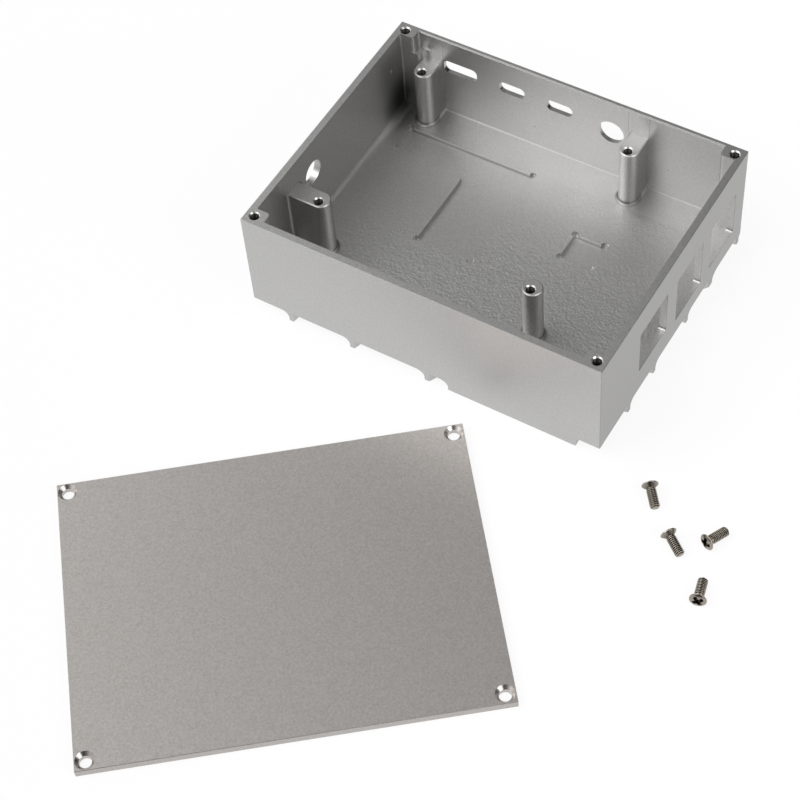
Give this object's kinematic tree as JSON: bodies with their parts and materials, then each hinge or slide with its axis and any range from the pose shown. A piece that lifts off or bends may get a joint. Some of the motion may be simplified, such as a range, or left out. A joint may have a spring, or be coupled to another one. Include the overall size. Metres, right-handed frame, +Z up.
{
  "type": "single-board computer case",
  "caption": "Milled open-top case for a small computer board, with standoffs, side ports and a ribbed base, its flat screw-down lid and countersunk lid screws laid beside it.",
  "frame": {"origin": "centre of the laid-out set's footprint, on the table that every piece lies on", "axes": "+Z up out of the open body; +X towards the body's end with the tall sockets; +Y towards its side with the small ports, and away from the lid lying in front"},
  "size_m": [0.1452, 0.2008, 0.0321],
  "materials": {
    "case_body": "fine bead-blasted, bare",
    "lid": "fine bead-blasted, bare",
    "screws": "nickel plated steel"
  },
  "bodies": {
    "root": {"case_body": "case_body", "lid": "lid", "screw_1": "screws", "screw_2": "screws", "screw_3": "screws", "screw_4": "screws"}
  },
  "joints": []
}
